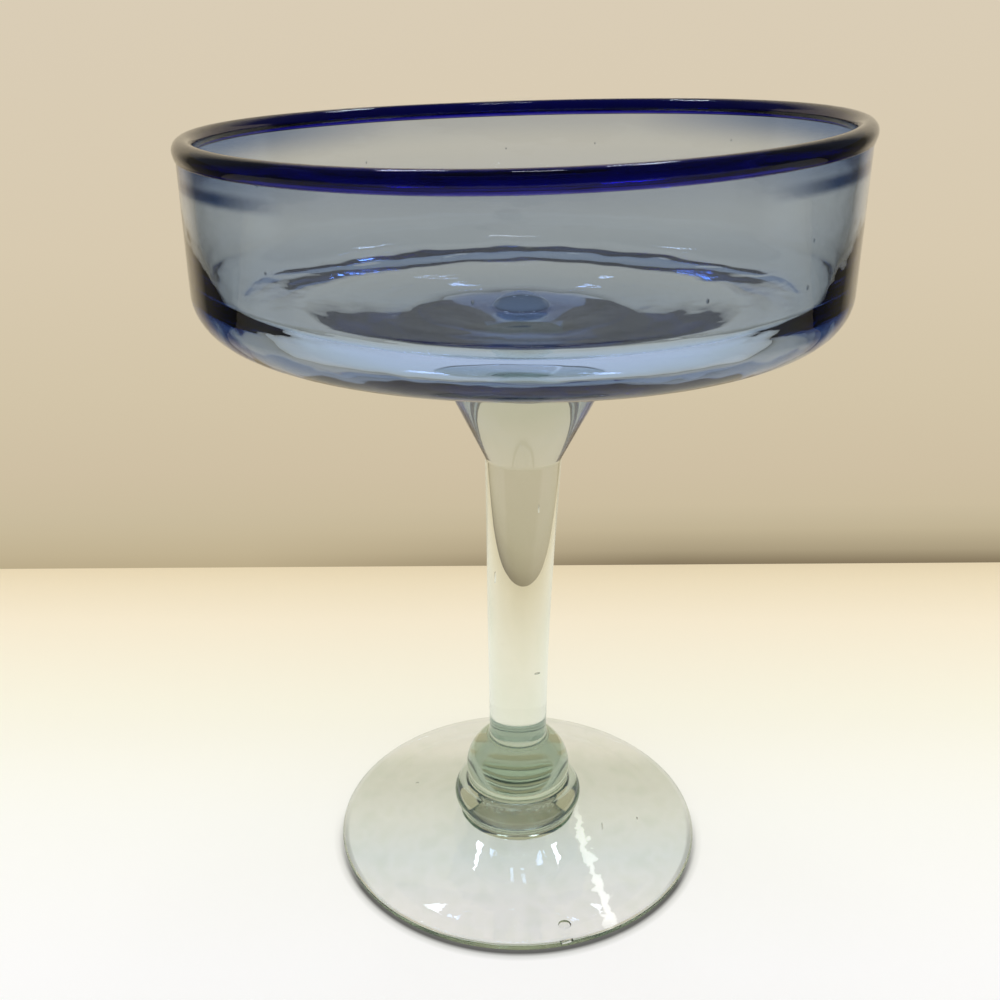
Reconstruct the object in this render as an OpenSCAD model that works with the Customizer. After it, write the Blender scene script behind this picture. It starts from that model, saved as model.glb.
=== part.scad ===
// Hand-blown margarita glass: a wide straight-sided bowl with a turned-in floor
// and a cobalt lip wrap, a flared neck, a drawn solid stem, a knop, a merese and
// a domed foot with its pontil mark underneath.
// Millimetres, +Z up, origin in the middle of the ring that the foot stands on.

/* [Overall] */
// Height from the table to the middle of the lip
glass_h = 175; // [160:1:200]

/* [Bowl] */
// Outer diameter of the bowl's wall
bowl_d = 136.3; // [120:0.1:150]
// Height from the lowest line of the turn to the middle of the lip
bowl_h = 39.7; // [34:0.1:50]
// Thickness of the wall under the lip
wall_t = 2.6; // [2:0.1:3.6]
// Outer radius of the turn from wall to floor
turn_r = 8.9; // [6:0.1:14]
// Inner radius of the turn from wall to floor
inner_turn_r = 9; // [6:0.1:14]
// Depth below the lip at which the wall starts to thicken to the turn
thicken_drop = 16; // [12:0.5:24]
// Radius of the shallow curve by which it thickens
thicken_r = 100; // [70:1:160]
// Angle at which the outside of the floor falls from the turn inwards, in degrees
floor_fall = 5; // [3:0.1:8]
// Diameter within which the floor is drawn down to the neck
drawn_d = 94; // [70:1:104]
// Angle at which the drawn part falls, in degrees
drawn_fall = 12.5; // [9:0.5:18]
// Angle at which the inside of the drawn part falls to the middle, in degrees
inner_fall = 3.3; // [2:0.1:5]
// Angle at which the inside rises from the drawn part to the turn, in degrees
inner_rise = 11.6; // [8:0.1:14]
// Thickness of the floor at the edge of the drawn part
floor_t = 3.2; // [2.6:0.1:4]
// Diameter of the button that the joining of the neck pushed up in the floor
button_d = 13; // [9:0.5:20]
// Height of the button over the point of the floor
button_h = 4.6; // [3:0.1:6]
// Radius of the hollow round the button
button_hollow_r = 2; // [1:0.1:3]

/* [Lip] */
// Thickness of the cobalt bead wound on the lip
wrap_d = 4.2; // [3.4:0.1:6]
// How far the bead stands proud of the wall outside
wrap_proud = 0.6; // [0.2:0.1:1.2]
// Depth from the top of the bead to the end of the wall inside it
wrap_seat = 3.3; // [2.4:0.1:3.3]
// Slant of the sheared mouth, the left side low, in degrees
lip_slant = 1.5; // [0:0.1:3]

/* [Neck] */
// Depth of the bowl's seat on the neck below the lowest line of the turn
seat_drop = 14.3; // [11:0.1:17]
// Height of the neck from the stem to that seat
neck_h = 18.7; // [13:0.1:25]
// Angle of the neck's side from upright, in degrees
neck_flare = 27.5; // [20:0.5:32]
// Radius of the hollow between the neck and the stem
neck_hollow_r = 5; // [3:0.5:12]
// Radius of the hollow between the neck and the floor of the bowl
floor_hollow_r = 6; // [3:0.5:9]

/* [Stem] */
// Diameter of the stem under the neck
stem_top_d = 17.5; // [13:0.1:20]
// Diameter of the stem at the knop
stem_foot_d = 14.2; // [10:0.1:17]
// How far the drawing-out narrowed the stem below a straight taper
stem_waist = 0.25; // [0.05:0.05:0.8]

/* [Knop] */
// Widest diameter of the knop
knop_d = 26; // [23:0.1:30]
// Height of the knop between its seats
knop_h = 13.2; // [11:0.1:15]
// Radius of the knop's upper curve
knop_top_r = 11; // [10:0.1:12.5]
// Radius of the knop's undercut
knop_under_r = 4.5; // [3.6:0.1:6]

/* [Merese] */
// Diameter of the merese
merese_d = 32.2; // [28:0.1:38]
// Height of the merese between its seats
merese_h = 8.2; // [6:0.1:10]
// Radius of the merese's rounded side
merese_round_r = 4.7; // [4.2:0.1:6]

/* [Foot] */
// Diameter of the foot
foot_d = 90.8; // [76:0.1:104]
// Thickness of the foot's rounded edge
foot_edge_t = 2.2; // [1.6:0.1:3.2]
// Height of the foot in the middle, where the merese sits
foot_h = 6.6; // [5.6:0.1:9]
// Width of the ring that the foot rests on
foot_ring_w = 4; // [2:0.5:7]
// Height of the hollow under the foot
foot_hollow_h = 3; // [1.6:0.1:3.6]
// Sag of the foot's top below a straight cone
foot_sag = 0.9; // [0.3:0.1:1.4]
// Rise of the hollow's roof above its straight cone
hollow_rise = 0.35; // [0.1:0.05:0.8]

/* [Pontil mark] */
// Diameter of the pontil mark
pontil_d = 15; // [10:0.5:22]
// Thickness of the glass left at the pontil mark
pontil_t = 1.1; // [0.7:0.1:1.3]
// Radius of the mark's broken edge
pontil_round_r = 0.6; // [0.3:0.1:0.6]
// Depth of the chip in the middle of the mark
pontil_chip_h = 0.5; // [0.2:0.1:0.6]
// Diameter of the chip
pontil_chip_d = 9; // [4:0.5:9]

/* [Hidden] */
$fn = 128;

// Overrun of every cut past the face that it opens
overrun = 2;
// Number of steps along each shallow arc
arc_steps = 16;

// Heights of the seats, from the table up
merese_z = foot_h;
knop_z = merese_z + merese_h;
stem_z = knop_z + knop_h;
neck_seat_z = glass_h - bowl_h - seat_drop;
neck_z = neck_seat_z - neck_h;

// Radius of the neck at its upper seat, from the hollow's end along the flare
neck_join_r = stem_top_d / 2 + neck_hollow_r * (1 - cos(neck_flare));
neck_join_z = neck_z + neck_hollow_r * sin(neck_flare);
neck_seat_r = neck_join_r + (neck_seat_z - neck_join_z) * tan(neck_flare);

// Radius of the knop at its lower seat
knop_wide_z = stem_z - sqrt(pow(knop_top_r, 2) - pow(stem_foot_d / 2 - knop_d / 2 + knop_top_r, 2));
knop_under_z = knop_wide_z - knop_z;
knop_seat_r = knop_d / 2 - knop_under_r + sqrt(pow(knop_under_r, 2) - pow(knop_under_z, 2));

// Radius of the merese at its lower seat
merese_wide_z = merese_z + merese_h - merese_round_r;
merese_under_z = merese_wide_z - merese_z;
merese_seat_r = merese_d / 2 - merese_round_r + sqrt(pow(merese_round_r, 2) - pow(merese_under_z, 2));

// Outside of the bowl: the turn's centre, its touch on the floor and the drawn part's edge
turn_x = bowl_d / 2 - turn_r;
turn_z = glass_h - bowl_h + turn_r;
turn_touch = [turn_x + turn_r * sin(floor_fall), turn_z - turn_r * cos(floor_fall)];
drawn_edge = [drawn_d / 2, turn_touch.y - (turn_touch.x - drawn_d / 2) * tan(floor_fall)];
drawn_z = drawn_edge.y - drawn_edge.x * tan(drawn_fall);

// Inside of the bowl: a turn that touches both the thickening curve and the rising floor
inner_r = bowl_d / 2 - wall_t;
thicken_z = glass_h - thicken_drop;
thicken_x = inner_r - thicken_r;
inner_edge = [drawn_d / 2, drawn_edge.y + floor_t];
inner_z = inner_edge.y - inner_edge.x * tan(inner_fall);
rise_z = inner_edge.y - inner_edge.x * tan(inner_rise);
inner_turn = touching([thicken_x, thicken_z], thicken_r - inner_turn_r, rise_z, inner_rise, inner_turn_r);

// The button's ball and the hollow round it, which touches the ball and the floor
button_r = (pow(button_d / 2, 2) + pow(button_h, 2)) / (2 * button_h);
button_z = inner_z + button_h - button_r;
button_hollow = touching([0, button_z], button_r + button_hollow_r, inner_z, inner_fall, button_hollow_r);

// Centre of a circle of radius r that lies reach from c and rests on the line
// that leaves the axis at point_z and rises outwards by fall degrees
function touching(c, reach, point_z, fall, r) =
    let (
        t = tan(fall),
        drop = point_z + r / cos(fall) - c.y,
        half = c.x - t * drop,
        x = (half + sqrt(half * half - (1 + t * t) * (c.x * c.x + drop * drop - reach * reach))) / (1 + t * t)
    )
    [x, point_z + r / cos(fall) + t * x];
function floor_touch(c, r, fall) = c + r * [sin(fall), -cos(fall)];

// Points of the arc from a to b that sags by sag to the left of its straight way
function sag_radius(a, b, sag) = (pow(norm(b - a) / 2, 2) + pow(sag, 2)) / (2 * sag);
function left_of(a, b) = [a.y - b.y, b.x - a.x] / norm(b - a);
function sag_arc(a, b, sag) =
    let (
        r = sag_radius(a, b, sag),
        side = left_of(a, b),
        way = (b - a) / norm(b - a),
        centre = (a + b) / 2 + side * (sag - r),
        half = asin(norm(b - a) / 2 / r)
    )
    [for (i = [0 : arc_steps])
        let (turn = half * (2 * i / arc_steps - 1))
        centre + r * (side * cos(turn) + way * sin(turn))];

// Disc of radius r centred at p in the profile plane
module disc_at(p, r) {
    translate(p) circle(r = r);
}

// Half profile of the bowl's outside: an upright wall, a turn and a floor drawn to the middle
module outside_profile(top_z) {
    disc_at([turn_x, turn_z], turn_r);
    polygon([[0, drawn_z], drawn_edge, turn_touch, [bowl_d / 2, turn_z], [bowl_d / 2, top_z], [0, top_z]]);
}

// Half profile of its inside: the wall thickens along a shallow arc down to the inner turn
module inside_profile(top_z) {
    way = inner_turn - [thicken_x, thicken_z];
    curve_end = [thicken_x, thicken_z] + thicken_r * way / norm(way);
    curve_top = [inner_r, thicken_z];
    half = norm(curve_top - curve_end) / 2;
    sag = thicken_r - sqrt(pow(thicken_r, 2) - pow(half, 2));
    disc_at(inner_turn, inner_turn_r);
    polygon(concat([[0, top_z], [inner_r, top_z]], sag_arc(curve_top, curve_end, sag),
        [floor_touch(inner_turn, inner_turn_r, inner_rise), inner_edge, [0, inner_z]]));
}

// Half profile of the button: a ball's cap, and the hollow that leads into the floor
module button_profile() {
    way = button_hollow - [0, button_z];
    ball_touch = [0, button_z] + button_r * way / norm(way);
    intersection() {
        disc_at([0, button_z], button_r);
        translate([0, button_z]) square([button_r, button_r]);
    }
    difference() {
        polygon([[0, inner_z], [0, ball_touch.y], ball_touch, button_hollow,
            floor_touch(button_hollow, button_hollow_r, inner_fall)]);
        disc_at(button_hollow, button_hollow_r);
    }
}

// Half profile of the glass drawn down from the floor to the neck's seat, with its hollow
module floor_boss_profile() {
    lean = [sin(neck_flare), cos(neck_flare)];
    seat = [neck_seat_r, neck_seat_z];
    // The hollow's centre lies a radius off the neck's side and a radius below the floor
    base = seat + floor_hollow_r * [lean.y, -lean.x];
    reach = (drawn_z + base.x * tan(drawn_fall) - floor_hollow_r / cos(drawn_fall) - base.y)
        / (lean.y - lean.x * tan(drawn_fall));
    centre = base + reach * lean;
    side_touch = centre - floor_hollow_r * [lean.y, -lean.x];
    drawn_touch = centre + floor_hollow_r * [-sin(drawn_fall), cos(drawn_fall)];
    difference() {
        polygon([[0, neck_seat_z], seat, side_touch, drawn_touch, [0, drawn_touch.y]]);
        disc_at(centre, floor_hollow_r);
    }
}

// Everything above the slanted plane that lies depth below the top of the lip
module above_mouth(depth) {
    reach = bowl_d;
    translate([0, 0, glass_h]) rotate([0, -lip_slant, 0])
        translate([-reach, -reach, -depth]) cube([2 * reach, 2 * reach, reach]);
}

// The blown bowl: wall, turn, floor drawn down to the neck, and the button inside
module bowl() {
    top_z = glass_h + bowl_d * tan(lip_slant);
    color("#9DB3C4", 0.55)
    difference() {
        rotate_extrude() difference() {
            intersection() {
                union() {
                    outside_profile(top_z);
                    floor_boss_profile();
                }
                translate([0, neck_seat_z]) square([bowl_d / 2, top_z - neck_seat_z]);
            }
            difference() {
                intersection() {
                    inside_profile(top_z + overrun);
                    translate([0, neck_seat_z]) square([bowl_d / 2, top_z - neck_seat_z + overrun]);
                }
                button_profile();
            }
        }
        above_mouth(wrap_seat);
    }
}

// The cobalt bead wound on the sheared mouth, flat where it is fused to the wall
module lip_wrap() {
    bead_r = wrap_d / 2;
    bead_x = bowl_d / 2 + wrap_proud - bead_r;
    color("#14103F")
    translate([0, 0, glass_h]) rotate([0, -lip_slant, 0]) rotate_extrude()
        intersection() {
            disc_at([bead_x, -bead_r], bead_r);
            translate([bead_x - bead_r, -wrap_seat]) square([wrap_d, wrap_seat]);
        }
}

// The flared gather between bowl and stem, hollowed into the stem
module neck() {
    color("#A9AC96", 0.6)
    rotate_extrude() difference() {
        polygon([[0, neck_z], [neck_join_r, neck_z], [neck_join_r, neck_join_z],
            [neck_seat_r, neck_seat_z], [0, neck_seat_z]]);
        disc_at([stem_top_d / 2 + neck_hollow_r, neck_z], neck_hollow_r);
    }
}

// The drawn rod, tapered and a little waisted
module stem() {
    low = [stem_foot_d / 2, stem_z];
    high = [stem_top_d / 2, neck_z];
    color("#D3D0B8", 0.6)
    rotate_extrude()
        polygon(concat([[0, stem_z]], sag_arc(low, high, stem_waist), [[0, neck_z]]));
}

// The bead under the stem: a high round shoulder and a tighter undercut
module knop() {
    color("#8E9382", 0.7)
    rotate_extrude() intersection() {
        union() {
            intersection() {
                disc_at([knop_d / 2 - knop_top_r, knop_wide_z], knop_top_r);
                translate([0, knop_wide_z]) square([knop_d / 2, knop_top_r]);
            }
            intersection() {
                disc_at([knop_d / 2 - knop_under_r, knop_wide_z], knop_under_r);
                translate([0, knop_z]) square([knop_d / 2, knop_under_z]);
            }
            translate([0, knop_z]) square([knop_seat_r, knop_under_z]);
        }
        translate([0, knop_z]) square([knop_d / 2, knop_h]);
    }
}

// The flattened collar between knop and foot
module merese() {
    color("#A3AB9C", 0.7)
    rotate_extrude() intersection() {
        union() {
            disc_at([merese_d / 2 - merese_round_r, merese_wide_z], merese_round_r);
            translate([0, merese_z]) square([merese_d / 2 - merese_round_r, merese_h]);
        }
        translate([0, merese_z]) square([merese_d / 2, merese_h]);
    }
}

// The spun foot: a rounded edge, a ring to rest on, a sagging top and a domed hollow
module foot() {
    edge_r = foot_edge_t / 2;
    edge_x = foot_d / 2 - edge_r;
    ring_x = edge_x - foot_ring_w;
    seat = [merese_seat_r, foot_h];
    brim = [edge_x, foot_edge_t];
    ring = [ring_x, 0];
    roof = [pontil_d / 2, foot_hollow_h];
    color("#C9CFC9", 0.55)
    rotate_extrude() {
        disc_at([edge_x, edge_r], edge_r);
        polygon(concat([[0, foot_hollow_h]], sag_arc(roof, ring, hollow_rise),
            [[edge_x, 0]], sag_arc(brim, seat, foot_sag), [[0, foot_h]]));
    }
}

// The scar of the pontil rod: a low button with a broken edge and a chipped middle
module pontil_mark() {
    mark_z = foot_hollow_h - pontil_t;
    chip_r = (pow(pontil_chip_d / 2, 2) + pow(pontil_chip_h, 2)) / (2 * pontil_chip_h);
    color("#B7BFB4", 0.7)
    rotate_extrude() intersection() {
        difference() {
            union() {
                translate([0, mark_z]) square([pontil_d / 2 - pontil_round_r, pontil_t]);
                translate([0, mark_z + pontil_round_r])
                    square([pontil_d / 2, pontil_t - pontil_round_r]);
                disc_at([pontil_d / 2 - pontil_round_r, mark_z + pontil_round_r], pontil_round_r);
            }
            disc_at([0, mark_z + pontil_chip_h - chip_r], chip_r);
        }
        translate([0, mark_z]) square([pontil_d / 2, pontil_t]);
    }
}

bowl();
lip_wrap();
neck();
stem();
knop();
merese();
foot();
pontil_mark();
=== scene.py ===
"""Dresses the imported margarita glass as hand-blown glass, and sets its stage, lights and camera."""
import math

import bpy
import numpy as np
from bpy.props import FloatProperty, FloatVectorProperty, IntProperty, PointerProperty
from mathutils import Matrix, Vector


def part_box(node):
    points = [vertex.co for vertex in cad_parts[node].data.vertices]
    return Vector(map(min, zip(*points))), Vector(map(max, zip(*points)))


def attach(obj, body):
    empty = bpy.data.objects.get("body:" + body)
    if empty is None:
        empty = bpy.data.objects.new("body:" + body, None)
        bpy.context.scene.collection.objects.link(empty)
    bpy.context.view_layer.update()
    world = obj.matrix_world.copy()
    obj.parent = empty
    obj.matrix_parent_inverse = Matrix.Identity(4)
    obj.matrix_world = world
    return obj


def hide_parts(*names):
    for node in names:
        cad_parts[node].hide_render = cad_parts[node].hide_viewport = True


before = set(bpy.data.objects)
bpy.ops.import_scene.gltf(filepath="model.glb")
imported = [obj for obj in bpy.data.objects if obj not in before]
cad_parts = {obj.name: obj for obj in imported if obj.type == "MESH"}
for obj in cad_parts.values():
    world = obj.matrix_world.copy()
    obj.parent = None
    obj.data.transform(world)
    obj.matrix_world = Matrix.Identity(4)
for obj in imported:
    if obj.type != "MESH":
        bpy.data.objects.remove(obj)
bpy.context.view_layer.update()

MM = 0.001
BODY = "root"
GLASS_INDEX = 1.52

bl_info = {
    "name": "Blown Margarita Glass",
    "version": (1, 0, 0),
    "blender": (4, 5, 0),
    "location": "3D View > Sidebar > Glass",
    "description": "Builds a hand-blown margarita glass with a cobalt lip over its packed frame",
    "category": "Add Mesh",
}


def node_box(node):
    """Lowest and highest corner of a frame node, as two arrays in metres."""
    low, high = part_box(node)
    return np.array(low), np.array(high)


def seat_height(node, end):
    """Height of a node's lower (0) or upper (1) seat, in metres."""
    return float(node_box(node)[end][2])


def fused_heights(node, glass):
    """Heights of a node's lower and upper seat, each half a weld inside its neighbour."""
    return seat_height(node, 0) - glass.weld / 2, seat_height(node, 1) + glass.weld / 2


def widest(node):
    """Largest radius of a turned node, in metres, from its box across X."""
    low, high = node_box(node)
    return float(high[0] - low[0]) / 2


def linear(colour):
    """An sRGB hex colour as a linear colour with full alpha."""
    values = [int(colour[i:i + 2], 16) / 255 for i in (1, 3, 5)]
    return [v / 12.92 if v <= 0.04045 else ((v + 0.055) / 1.055) ** 2.4 for v in values] + [1.0]


# Shapes: every piece is a half profile of points (radius, height) turned round the axis


def arc(centre, radius, start, end, steps):
    """Points centre + radius * (cos a, sin a), with a from start to end in degrees."""
    a = np.radians(np.linspace(start, end, steps))
    return np.stack([centre[0] + radius * np.cos(a), centre[1] + radius * np.sin(a)], 1)


def straight(start, end, steps):
    """Evenly spaced points on the straight way from start to end, both included."""
    t = np.linspace(0, 1, steps)[:, None]
    return np.array(start) * (1 - t) + np.array(end) * t


def sagging(start, end, sag, steps):
    """The straight way from start to end, moved sideways to its left by sag * 4t(1 - t)."""
    points = straight(start, end, steps)
    way = np.array(end) - np.array(start)
    left = np.array([-way[1], way[0]]) / np.hypot(*way)
    t = np.linspace(0, 1, steps)[:, None]
    return points + left * sag * 4 * t * (1 - t)


def bend(before, corner, after, radius, steps):
    """The arc of that radius that rounds a corner between two straight ways, touching both."""
    before, corner, after = np.array(before), np.array(corner), np.array(after)
    back = (before - corner) / np.hypot(*(before - corner))
    on = (after - corner) / np.hypot(*(after - corner))
    half = math.acos(float(back @ on)) / 2
    middle = corner + (back + on) / np.hypot(*(back + on)) * radius / math.sin(half)
    start = corner + back * radius / math.tan(half) - middle
    end = corner + on * radius / math.tan(half) - middle
    first = math.degrees(math.atan2(start[1], start[0]))
    turn = (math.degrees(math.atan2(end[1], end[0])) - first + 180) % 360 - 180
    return arc(middle, radius, first, first + turn, steps)


def touching(centre, reach, point_z, fall, radius):
    """Middle of a circle of radius that lies reach from centre and rests on the floor's line.

    The line is z = point_z + r tan(fall); the middle solves the quadratic for its distance.
    """
    t = math.tan(fall)
    drop = point_z + radius / math.cos(fall) - centre[1]
    half = centre[0] - t * drop
    rest = centre[0] ** 2 + drop ** 2 - reach ** 2
    r = (half + math.sqrt(half ** 2 - (1 + t * t) * rest)) / (1 + t * t)
    return r, point_z + radius / math.cos(fall) + t * r


def nestled(first, reach, second, span):
    """The point outside the axis that lies reach from first and span from second."""
    first, second = np.array(first), np.array(second)
    way = second - first
    far = np.hypot(*way)
    on = (reach ** 2 - span ** 2 + far ** 2) / (2 * far)
    out = np.array([-way[1], way[0]]) / far * math.sqrt(reach ** 2 - on ** 2)
    return first + way / far * on + (out if out[0] > 0 else -out)


def heading(start, end):
    """Angle of the way from start to end, in degrees."""
    return math.degrees(math.atan2(end[1] - start[1], end[0] - start[0]))


def meeting(middle, radius, z):
    """Angle at which a circle meets height z on its side towards the axis, in degrees."""
    return 180 + math.degrees(math.asin((middle[1] - z) / radius))


def joined(*runs):
    """Profile runs end to end, with doubled points dropped."""
    points = np.concatenate(runs)
    keep = np.r_[True, np.hypot(*np.diff(points, axis=0).T) > 1e-7]
    return points[keep]


def smooth_step(t):
    """3t^2 - 2t^3 with t held between 0 and 1."""
    t = np.clip(t, 0, 1)
    return t * t * (3 - 2 * t)


# Waver of the blown walls: folds round the glass, metres of height per radian, share, start
WAVERS = ((2, 31 * MM, 1.0, 0.0), (3, -19 * MM, 0.6, 1.1), (5, 12 * MM, 0.4, 2.3))


def hand_shift(points, glass):
    """Moves points (n, 3) as the maker's hand did, the same for every piece, so that welds stay shut.

    The mouth slants and dips: height grows by x * tan(slant) + tip * b - dip * b^2, with b = y / radius,
    faded in between the turn and the lip.
    The axis drifts in x: a smooth step up to the neck, and one back above it.
    The walls waver: the radius changes by a sum of cosines of angle and height, one for each of WAVERS.
    """
    x, y, z = points.T
    moved = points.copy()
    turn_z = glass.lip_height - glass.bowl_height + glass.turn
    rise = np.clip((z - turn_z) / (glass.lip_height - glass.wrap_seat - turn_z), 0, 1)
    back = y / widest("bowl")
    slant = x * math.tan(glass.lip_slant)
    moved[:, 2] += (slant + glass.mouth_tip * back - glass.mouth_dip * back ** 2) * rise
    neck_top = seat_height("neck", 1)
    low = seat_height("stem", 0) + glass.drift_start
    away = smooth_step((z - low) / (neck_top - low)) - (1 - glass.drift_left) * smooth_step(
        (z - neck_top) / glass.drift_back)
    moved[:, 0] += glass.drift * away
    angle = np.arctan2(y, x)
    wave = sum(share * np.cos(folds * angle + z / rise_length + start)
        for folds, rise_length, share, start in WAVERS)
    out = glass.waver * wave * np.clip(np.hypot(x, y) / widest("bowl"), 0, 1)
    moved[:, 0] += out * np.cos(angle)
    moved[:, 1] += out * np.sin(angle)
    return moved


def rings(profile, around):
    """Points of a profile turned round the axis, (r cos a, r sin a, z), ring after ring."""
    a = np.linspace(0, 2 * np.pi, around, endpoint=False)
    r, z = profile.T
    points = [np.outer(r, np.cos(a)), np.outer(r, np.sin(a)), np.repeat(z[:, None], around, 1)]
    return np.stack(points, -1).reshape(-1, 3)


def quads_between(low, high, around):
    """Quads from each ring numbered in low to the one at its place in high."""
    j = np.arange(around)
    k = (j + 1) % around
    low, high = low[:, None] * around, high[:, None] * around
    return np.stack([low + j, low + k, high + k, high + j], -1).reshape(-1, 4)


def turned(profile, around):
    """Vertices and faces of a half profile turned round the axis.

    It starts and ends at radius 0, where a single pole vertex closes it.
    """
    count = len(profile) - 2
    poles = np.array([[0, 0, profile[0, 1]], [0, 0, profile[-1, 1]]])
    points = np.concatenate([rings(profile[1:-1], around), poles])
    ring = np.arange(count - 1)
    j, k = np.arange(around), (np.arange(around) + 1) % around
    last = (count - 1) * around
    low = np.stack([k, j, np.full(around, count * around)], 1)
    high = np.stack([last + j, last + k, np.full(around, count * around + 1)], 1)
    return points, [quads_between(ring, ring + 1, around), low, high]


def ringed(profile, around):
    """Vertices and faces of a closed section turned round the axis, as a ring without poles."""
    ring = np.arange(len(profile))
    return rings(profile, around), [quads_between(ring, np.roll(ring, -1), around)]


def seed(centre, size, around=16, rows=8):
    """A bubble in the glass: an ellipsoid centre + size * (sin b cos a, sin b sin a, cos b)."""
    b = np.linspace(0, np.pi, rows + 1)
    profile = np.stack([np.sin(b), np.cos(b)], 1)
    points, faces = turned(profile, around)
    return points * np.array(size) + np.array(centre), faces


# Bubbles left in the glass: middle and half sizes, given in millimetres
FOOT_SEEDS = MM * np.array([
    [(10.3, -39.2, 2), (1.5, 1.4, 0.3)], [(21.5, -7, 3.2), (0.15, 1.4, 0.12)],
    [(31, -3, 2.7), (0.2, 0.6, 0.15)], [(-27, 12, 2.3), (0.4, 0.3, 0.15)]])
STEM_SEEDS = MM * np.array([
    [(4.2, -4.6, 48.2), (0.8, 0.25, 0.25)], [(-3.1, 2, 72), (0.12, 0.12, 1.6)],
    [(2, 3.4, 90), (0.1, 0.1, 1.1)]])


def wall_seeds(count, radius=66.85 * MM, low=148 * MM, band=19 * MM, golden=0.618):
    """Small bubbles in the wall's middle, spread evenly over its band of height.

    Bubble k stands at 137.5 k + 20 degrees, the golden angle. Its height follows the fraction of
    golden k, and its size, 0.16 to 0.36 mm, the fraction of (1 - golden) k.
    """
    k = np.arange(count)
    a = np.radians(137.5 * k + 20)
    height = low + band * (k * golden % 1)
    size = (0.16 + 0.2 * (k * (1 - golden) % 1)) * MM
    middles = np.stack([radius * np.cos(a), radius * np.sin(a), height], 1)
    return np.stack([middles, size[:, None] * np.array([0.8, 0.8, 1.3])], 1)


WALL_SEEDS = wall_seeds(14)


def volume_of(points, faces):
    """Signed volume within faces, by the divergence theorem over triangle fans."""
    total = 0.0
    for block in faces:
        for k in range(1, block.shape[1] - 1):
            p, q, r = points[block[:, 0]], points[block[:, k]], points[block[:, k + 1]]
            total += np.einsum("ij,ij->", p, np.cross(q, r)) / 6
    return total


def facing(points, faces, outwards):
    """Faces turned so that their normals leave the volume, or enter it for a bubble."""
    if (volume_of(points, faces) > 0) == outwards:
        return faces
    return [block[:, ::-1] for block in faces]


def welded(points, faces, seats):
    """1 for each face that lies in one of the seats, else 0.

    A seat is (radius, height, slope), the cone z = height + (radius - r) * slope.
    """
    marks = []
    for block in faces:
        x, y, z = np.moveaxis(points[block], -1, 0)
        off = [z - height - (radius - np.hypot(x, y)) * slope for radius, height, slope in seats]
        marks.append(np.any([np.all(np.abs(each) < 1e-6, axis=1) for each in off], axis=0))
    return np.concatenate(marks).astype(np.float32)


def glass_object(name, shell, seeds, seats, glass, crease=35):
    """One blown piece: its shell and the bubbles in it as one closed mesh, moved by the hand.

    The face attribute weld is 1 in seats, where the piece is fused to the next. Edges sharper than
    crease degrees stay sharp.
    """
    points, faces = shell
    faces = facing(points, faces, True)
    all_points, all_faces = [points], list(faces)
    start = len(points)
    for centre, size in seeds:
        bubble, sides = seed(centre, size)
        all_faces += [block + start for block in facing(bubble, sides, False)]
        all_points.append(bubble)
        start += len(bubble)
    points = np.concatenate(all_points)
    marks = welded(points, all_faces, seats)
    points = hand_shift(points, glass)
    mesh = bpy.data.meshes.new(name)
    loops = [len(block) * [block.shape[1]] for block in all_faces]
    corners = np.concatenate([block.ravel() for block in all_faces])
    sizes = np.concatenate(loops).astype(np.int32)
    mesh.vertices.add(len(points))
    mesh.vertices.foreach_set("co", points.ravel().astype(np.float32))
    mesh.loops.add(len(corners))
    mesh.loops.foreach_set("vertex_index", corners.astype(np.int32))
    mesh.polygons.add(len(sizes))
    mesh.polygons.foreach_set("loop_start", np.r_[0, np.cumsum(sizes)[:-1]].astype(np.int32))
    mesh.polygons.foreach_set("loop_total", sizes)
    mesh.update(calc_edges=True)
    mesh.attributes.new("weld", "FLOAT", "FACE").data.foreach_set("value", marks)
    mesh.shade_smooth()
    mesh.set_sharp_from_angle(angle=math.radians(crease))
    piece = bpy.data.objects.new(name, mesh)
    bpy.context.scene.collection.objects.link(piece)
    return piece


def finish_piece(piece, node, material):
    """Gives a piece its finish, attaches it to the body and hides the part that it takes the place of.
    """
    piece.data.materials.append(material)
    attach(piece, BODY)
    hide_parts(node)


# Profiles


def outer_run(glass, side, top_z):
    """The bowl's outside from the neck's seat out and up: boss, drawn part, floor, turn and wall."""
    lean = math.tan(glass.floor_fall)
    middle = (side - glass.turn, glass.lip_height - glass.bowl_height + glass.turn)
    turn = arc(middle, glass.turn, math.degrees(glass.floor_fall) - 90, 0, 48)
    edge = (glass.drawn_width / 2, turn[0][1] - (turn[0][0] - glass.drawn_width / 2) * lean)
    point_z = edge[1] - edge[0] * math.tan(glass.drawn_fall)
    boss = boss_run(widest("neck"), fused_heights("bowl", glass)[0], glass.neck_flare,
        glass.floor_hollow, point_z, glass.drawn_fall, 24)
    fold = bend(boss[-1], edge, turn[0], glass.drawn_round, 12)
    return edge, joined(boss, straight(boss[-1], fold[0], 24), fold,
        straight(fold[-1], turn[0], 12), turn, straight(turn[-1], (side, top_z), 40))


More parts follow.
